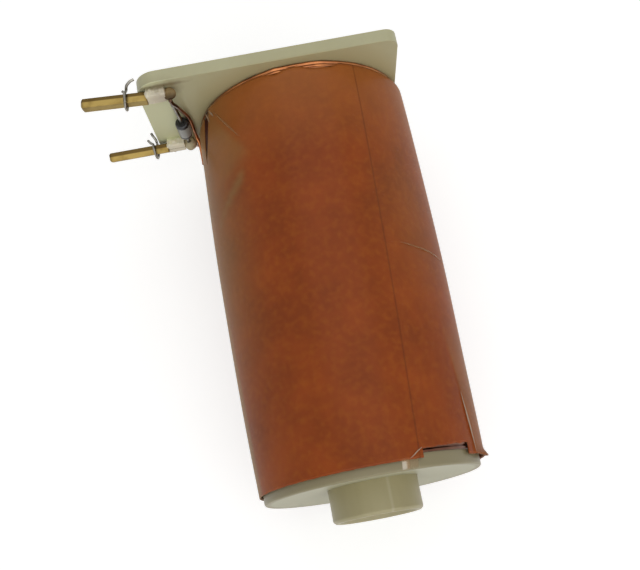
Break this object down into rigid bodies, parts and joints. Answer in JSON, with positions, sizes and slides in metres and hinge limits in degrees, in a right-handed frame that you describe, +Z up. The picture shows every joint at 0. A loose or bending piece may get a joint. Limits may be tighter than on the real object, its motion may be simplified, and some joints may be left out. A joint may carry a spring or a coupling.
{
  "type": "solenoid coil",
  "caption": "Plunger solenoid coil: a wire-wound moulded bobbin wrapped in brown paper and clear film, with square terminal posts, a diode across them and a slide-out sleeve.",
  "frame": {"origin": "centre of the plunger bore at the terminal plate's outer face", "axes": "+Y along the bore, out of the terminal plate; +Z up, on the upper terminal post's side; the posts point towards -X"},
  "size_m": [0.063, 0.0859, 0.0466],
  "materials": {
    "bobbin_nylon": "natural moulded nylon, slightly yellowed",
    "sleeve_nylon": "natural moulded nylon, darker with use",
    "enamelled_copper": "copper under clear brown enamel",
    "brown_paper": "matt brown insulating paper",
    "clear_film": "clear gloss film",
    "post_brass": "drawn brass, dull",
    "diode_epoxy": "black moulded epoxy with a grey band",
    "tinned_wire": "tin plate over copper, dulled",
    "solder": "tin solder with flux stains"
  },
  "bodies": {
    "coil": {"bobbin": "bobbin_nylon", "winding": "enamelled_copper", "paper_wrap": "brown_paper", "clear_film": "clear_film", "terminal_post_upper": "post_brass", "terminal_post_lower": "post_brass", "start_lead": "enamelled_copper", "finish_lead": "enamelled_copper", "diode_body": "diode_epoxy", "diode_lead_upper": "tinned_wire", "diode_lead_lower": "tinned_wire", "solder_joint_upper": "solder", "solder_joint_lower": "solder", "wire_wrap_upper": "tinned_wire", "wire_wrap_lower": "tinned_wire"},
    "sleeve": {"coil_sleeve": "sleeve_nylon"}
  },
  "joints": [
    {"name": "sleeve_slide", "type": "slide", "parent": "coil", "child": "sleeve", "axis": [0, 1, 0], "range_m": [0, 0.09]}
  ]
}
